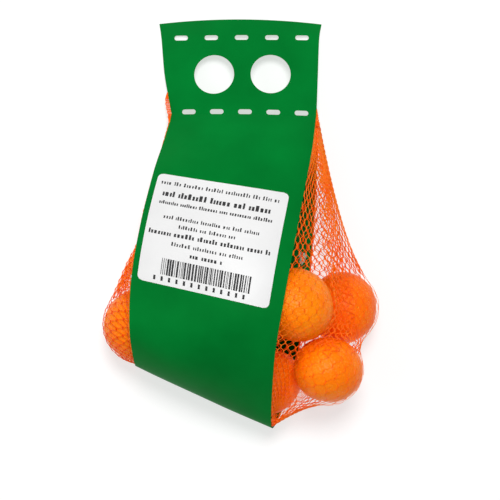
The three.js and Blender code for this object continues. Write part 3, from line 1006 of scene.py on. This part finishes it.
def label_grid():
    """Rows and columns over the label, u and v, drawn in at its rounded corners."""
    origin = label_point(0.0, 0.0, 0)
    width = np.linalg.norm(label_point(1.0, 0.0, 0) - origin)
    height = np.linalg.norm(label_point(0.0, 1.0, 0) - origin)
    corner = np.linspace(0, 1, 7)
    rows = np.concatenate([
        corner[:-1] * LABEL_CORNER / height,
        np.linspace(LABEL_CORNER / height, 1 - LABEL_CORNER / height, 40),
        1 - corner[:-1][::-1] * LABEL_CORNER / height,
    ])
    to_end = np.minimum(rows, 1 - rows) * height
    short = np.maximum(LABEL_CORNER - to_end, 0)
    inset = (LABEL_CORNER - np.sqrt(LABEL_CORNER**2 - short**2)) / width
    cells = np.linspace(0, 1, 49)[None, :]
    u = inset[:, None] + (1 - 2 * inset[:, None]) * cells
    return u, rows[:, None] + 0 * u


def make_label(material):
    u, v = label_grid()
    top = label_point(u, v, LABEL_SHEET)
    bottom = label_point(u, v, CLEAR)
    count, columns = v.shape
    faces = strip_faces(count, columns).tolist()
    first = count * columns
    faces += [[first + i for i in face[::-1]] for face in strip_faces(count, columns).tolist()]
    rim = (
        [r * columns for r in range(count)]
        + [(count - 1) * columns + c for c in range(1, columns)]
        + [r * columns + columns - 1 for r in range(count - 2, -1, -1)]
        + [c for c in range(columns - 2, 0, -1)]
    )
    for a, b in zip(rim, rim[1:] + rim[:1]):
        faces.append([b, a, first + a, first + b])
    points = np.concatenate([top.reshape(-1, 3), bottom.reshape(-1, 3)])
    label = make_object("label_sheet", points, faces, material)
    sharpen(label)
    return label


# Lines of print: left and right end, middle height, letter height and weight, all in shares of
# the label. Words are plain bars.
PRINT_LINES = [
    (0.04, 0.95, 0.085, 0.036, 0.55),
    (0.07, 0.90, 0.185, 0.050, 0.95),
    (0.06, 0.92, 0.265, 0.030, 0.80),
    (0.12, 0.86, 0.385, 0.032, 0.60),
    (0.25, 0.70, 0.455, 0.032, 0.60),
    (0.03, 0.97, 0.530, 0.042, 0.85),
    (0.22, 0.78, 0.615, 0.034, 0.55),
    (0.37, 0.63, 0.690, 0.040, 0.90),
]
LETTERS = (3, 11)  # fewest in a word, and one more than the most
LETTER_WIDTHS = (0.4, 0.75)  # as shares of the line's height, like the next two
LETTER_HEIGHTS = [0.7, 0.7, 0.7, 1.0]
WORD_GAP = 0.45
BAR_CODE = (0.17, 0.84, 0.755, 0.905)  # left, right, top and bottom
BAR_UNIT = 0.0046
MARKS = 13  # short bars under the bar pattern
MARK_WIDTH, MARK_TOP, MARK_BOTTOM = 0.016, 0.018, 0.06
PATCH_CELL = 0.02  # the print bends with the label in cells of about this size


def patch(u0, u1, v0, v1, lift):
    """A small piece of the label's surface as a grid of points and faces."""
    rows, columns = (max(2, int((end - start) / PATCH_CELL) + 2) for start, end in ((v0, v1), (u0, u1)))
    v, u = np.meshgrid(np.linspace(v0, v1, rows), np.linspace(u0, u1, columns), indexing="ij")
    return label_point(u, v, lift).reshape(-1, 3), strip_faces(rows, columns).tolist()


def print_patches():
    """Where ink lies on the label: letter-sized bars grouped in words, and a bar pattern."""
    rng = np.random.default_rng(SEED)
    for left, right, middle, height, weight in PRINT_LINES:
        u = left
        while u < right - 0.01:
            for _ in range(int(rng.integers(*LETTERS))):
                width = height * rng.uniform(*LETTER_WIDTHS)
                tall = height * rng.choice(LETTER_HEIGHTS)
                if u + width > right:
                    break
                bottom = middle + height / 2
                yield u, u + width * (0.3 + 0.38 * weight), bottom - tall, bottom
                u += width
            u += height * WORD_GAP
    left, right, top, bottom = BAR_CODE
    u = left
    while u < right:
        width = BAR_UNIT * rng.integers(1, 4)
        yield u, min(u + width, right), top, bottom
        u += width + BAR_UNIT * rng.integers(1, 3)
    for i in range(MARKS):
        u = left - 0.05 + i * (right - left + 0.06) / MARKS
        yield u, u + MARK_WIDTH, bottom + MARK_TOP, bottom + MARK_BOTTOM


def make_print(material):
    lift = LABEL_SHEET + PRINT_SHEET + CLEAR
    ink = make_object("label_print", *joined(patch(*where, lift) for where in print_patches()), material)
    thicken(ink, PRINT_SHEET)
    return ink


# A small whitish spot on the inside of the back film, which shows through the net: a painted glare on
# the crinkled film
SPOT_STATION = 14.97
SPOT_ACROSS = 0.884
SPOT_SIZE = (0.045, 0.1)  # half sizes, across the film and in stations
SPOT_RIM, SPOT_MIDDLE = 0.06, 0.14  # how far off the film's inner face


def make_glare_spot(material):
    angle = np.linspace(0, 2 * math.pi, 33)[:-1]
    ragged = 1 + 0.16 * np.sin(3 * angle + 0.5) + 0.09 * np.sin(7 * angle)
    across = SPOT_ACROSS + SPOT_SIZE[0] * ragged * np.cos(angle)
    station = SPOT_STATION + SPOT_SIZE[1] * ragged * np.sin(angle)
    inner = FILM - FILM_SHEET
    rim = band_offset(station, across, inner - SPOT_RIM)
    middle = band_offset(np.array([SPOT_STATION]), np.array([SPOT_ACROSS]), inner - SPOT_MIDDLE)
    count = len(rim)
    faces = [[i, (i + 1) % count, count] for i in range(count)]
    glare_spot = make_object("film_glare_spot", np.concatenate([rim, middle]), faces, material)
    thicken(glare_spot, -PRINT_SHEET)
    return glare_spot


# Floor, light and camera

def make_floor():
    mesh = bpy.data.meshes.new("floor")
    turns = ((-1, -1), (1, -1), (1, 1), (-1, 1))
    corners = [(x * FLOOR_SIZE, y * FLOOR_SIZE, FLOOR_LEVEL) for x, y in turns]
    mesh.from_pydata(corners, [], [(0, 1, 2, 3)])
    mesh.materials.append(floor_material())
    floor = bpy.data.objects.new("floor", mesh)
    bpy.context.collection.objects.link(floor)
    floor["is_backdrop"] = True


def area_light(name, place, size, power):
    light = bpy.data.lights.new(name, "AREA")
    light.shape = "DISK"
    light.size = size
    light.energy = power
    lamp = bpy.data.objects.new(name, light)
    lamp.location = place
    lamp.rotation_euler = Vector(place).to_track_quat("Z", "Y").to_euler()
    bpy.context.collection.objects.link(lamp)


def make_lights():
    area_light("key", (0.1, 0.9, 2.6), 0.9, 52)
    area_light("fill", (-1.6, 0.1, 1.7), 1.6, 9)
    scene = bpy.context.scene
    world = scene.world or bpy.data.worlds.new("studio")
    scene.world = world
    world.use_nodes = True
    background = world.node_tree.nodes["Background"]
    background.inputs["Color"].default_value = (1, 1, 1, 1)
    background.inputs["Strength"].default_value = 0.3
    scene.view_settings.view_transform = "Standard"


def make_camera():
    camera = bpy.data.cameras.new("camera")
    camera.sensor_width = SENSOR
    camera.lens = FOCAL_LENGTH
    eye = bpy.data.objects.new("camera", camera)
    eye.location = (np.array([0, 0, CAMERA_HEIGHT]) + ROW_SHIFT) * MM
    bpy.context.collection.objects.link(eye)
    bpy.context.scene.camera = eye


def main():
    make_camera()
    make_lights()
    make_floor()
    at, radius = settled_fruit()
    film = make_film(film_material())
    fruit, stems = make_fruit(at, radius, peel_material(), stem_material())
    yarn = net_material()
    rings = net_membrane(at, radius)
    net = make_net(rings, at, radius, yarn)
    folds = [make_fold(name, *fold, yarn) for name, fold in FOLDS.items()]
    folds += [make_gather(name, gather, rings, at, radius, yarn) for name, gather in GATHERS.items()]
    label = make_label(label_material())
    ink = make_print(ink_material())
    glare_spot = make_glare_spot(glare_spot_material())
    for piece in (film, fruit, stems, net, *folds, label, ink, glare_spot):
        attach(piece, "root")
    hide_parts("film_band")
    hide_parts("net_bag")
    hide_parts("label")


main()
SIZES = {"cad": CAD_BOUNDS, "visual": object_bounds()}
{name: [[float(v) for v in corner] for corner in box] for name, box in SIZES.items()}
